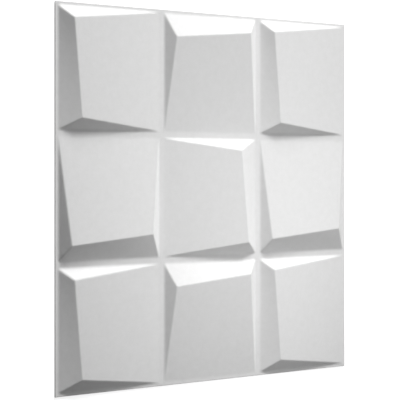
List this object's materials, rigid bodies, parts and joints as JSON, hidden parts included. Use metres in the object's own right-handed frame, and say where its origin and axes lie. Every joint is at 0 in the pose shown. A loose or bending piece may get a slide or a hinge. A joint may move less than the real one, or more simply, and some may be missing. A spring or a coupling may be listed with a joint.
{
  "type": "relief wall panel tile",
  "caption": "Square moulded sheet tile with tilted, skewed rectangular blocks in rows, turned by quarter turns, raised over flat grooves, for covering a wall.",
  "frame": {"origin": "middle of the panel's back plane, which rests on the floor", "axes": "+Z out of the relief face, +Y towards the top edge of the panel as the picture shows it hung, +X towards its right edge"},
  "size_m": [0.5, 0.5, 0.0107],
  "materials": {
    "moulded_fibre": "matte off-white moulded plant fibre, smooth face and slightly meshed back"
  },
  "bodies": {
    "root": {"relief_panel": "moulded_fibre"}
  },
  "joints": []
}
